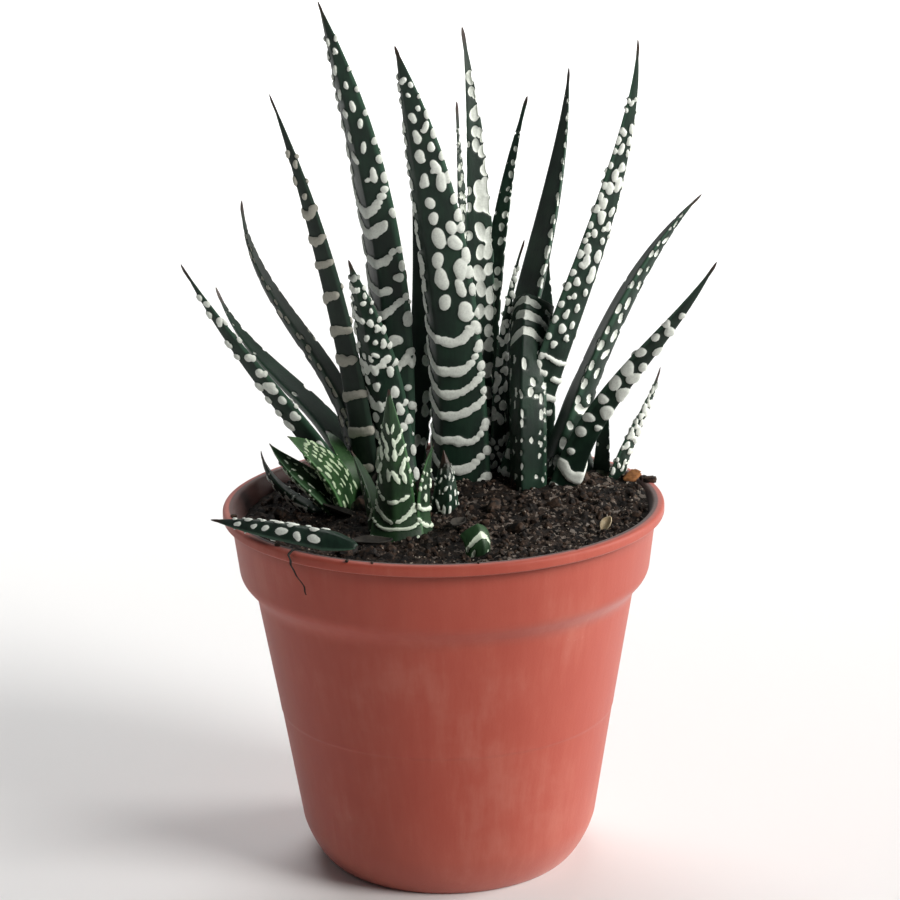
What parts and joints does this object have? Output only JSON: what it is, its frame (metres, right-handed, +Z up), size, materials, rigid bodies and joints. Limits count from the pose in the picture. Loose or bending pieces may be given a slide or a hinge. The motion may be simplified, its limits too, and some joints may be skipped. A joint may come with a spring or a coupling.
{
  "type": "potted haworthia",
  "caption": "Clump of upright zebra haworthia rosettes with pointed, white-banded leaves and small pups, rooted in mounded soil in a round tapered nursery pot.",
  "frame": {"origin": "centre of the pot's foot, on the floor", "axes": "+Z up along the pot's axis; -Y is the side with the low pups and the shed leaf over the rim; +X is to the right seen from that side"},
  "size_m": [0.1, 0.0944, 0.1673],
  "materials": {
    "pot": "satin terracotta-coloured moulded plastic with faint dust and scuffs",
    "soil": "dark moist potting mix with fine grit",
    "leaf": "dark green waxy leaf with raised white tubercles, in bands on the back",
    "pup_leaf": "brighter green young leaf with fine white tubercles",
    "stem": "pale green-brown short stem, nearly all buried"
  },
  "bodies": {
    "root": {"bud_leaf": "pup_leaf", "front_pup_leaf_1": "pup_leaf", "front_pup_leaf_2": "pup_leaf", "front_pup_leaf_3": "pup_leaf", "front_pup_leaf_4": "pup_leaf", "front_pup_stem": "stem", "left_leaf_1": "leaf", "left_leaf_2": "leaf", "left_leaf_3": "leaf", "left_leaf_4": "leaf", "left_leaf_5": "leaf", "left_leaf_6": "leaf", "left_leaf_7": "leaf", "left_leaf_8": "leaf", "left_stem": "stem", "middle_leaf_1": "leaf", "middle_leaf_2": "leaf", "middle_leaf_3": "leaf", "middle_leaf_4": "leaf", "middle_leaf_5": "leaf", "middle_leaf_6": "leaf", "middle_leaf_7": "leaf", "middle_leaf_8": "leaf", "middle_leaf_9": "leaf", "middle_stem": "stem", "pot": "pot", "right_leaf_1": "leaf", "right_leaf_2": "leaf", "right_leaf_3": "leaf", "right_leaf_4": "leaf", "right_leaf_5": "leaf", "right_pup_leaf_1": "pup_leaf", "right_pup_leaf_2": "pup_leaf", "right_pup_leaf_3": "pup_leaf", "right_pup_stem": "stem", "right_stem": "stem", "shed_leaf": "leaf", "side_pup_leaf_1": "pup_leaf", "side_pup_leaf_2": "pup_leaf", "side_pup_leaf_3": "pup_leaf", "side_pup_leaf_4": "pup_leaf", "side_pup_stem": "stem", "small_pup_leaf_1": "pup_leaf", "small_pup_leaf_2": "pup_leaf", "small_pup_stem": "stem", "soil": "soil"}
  },
  "joints": []
}
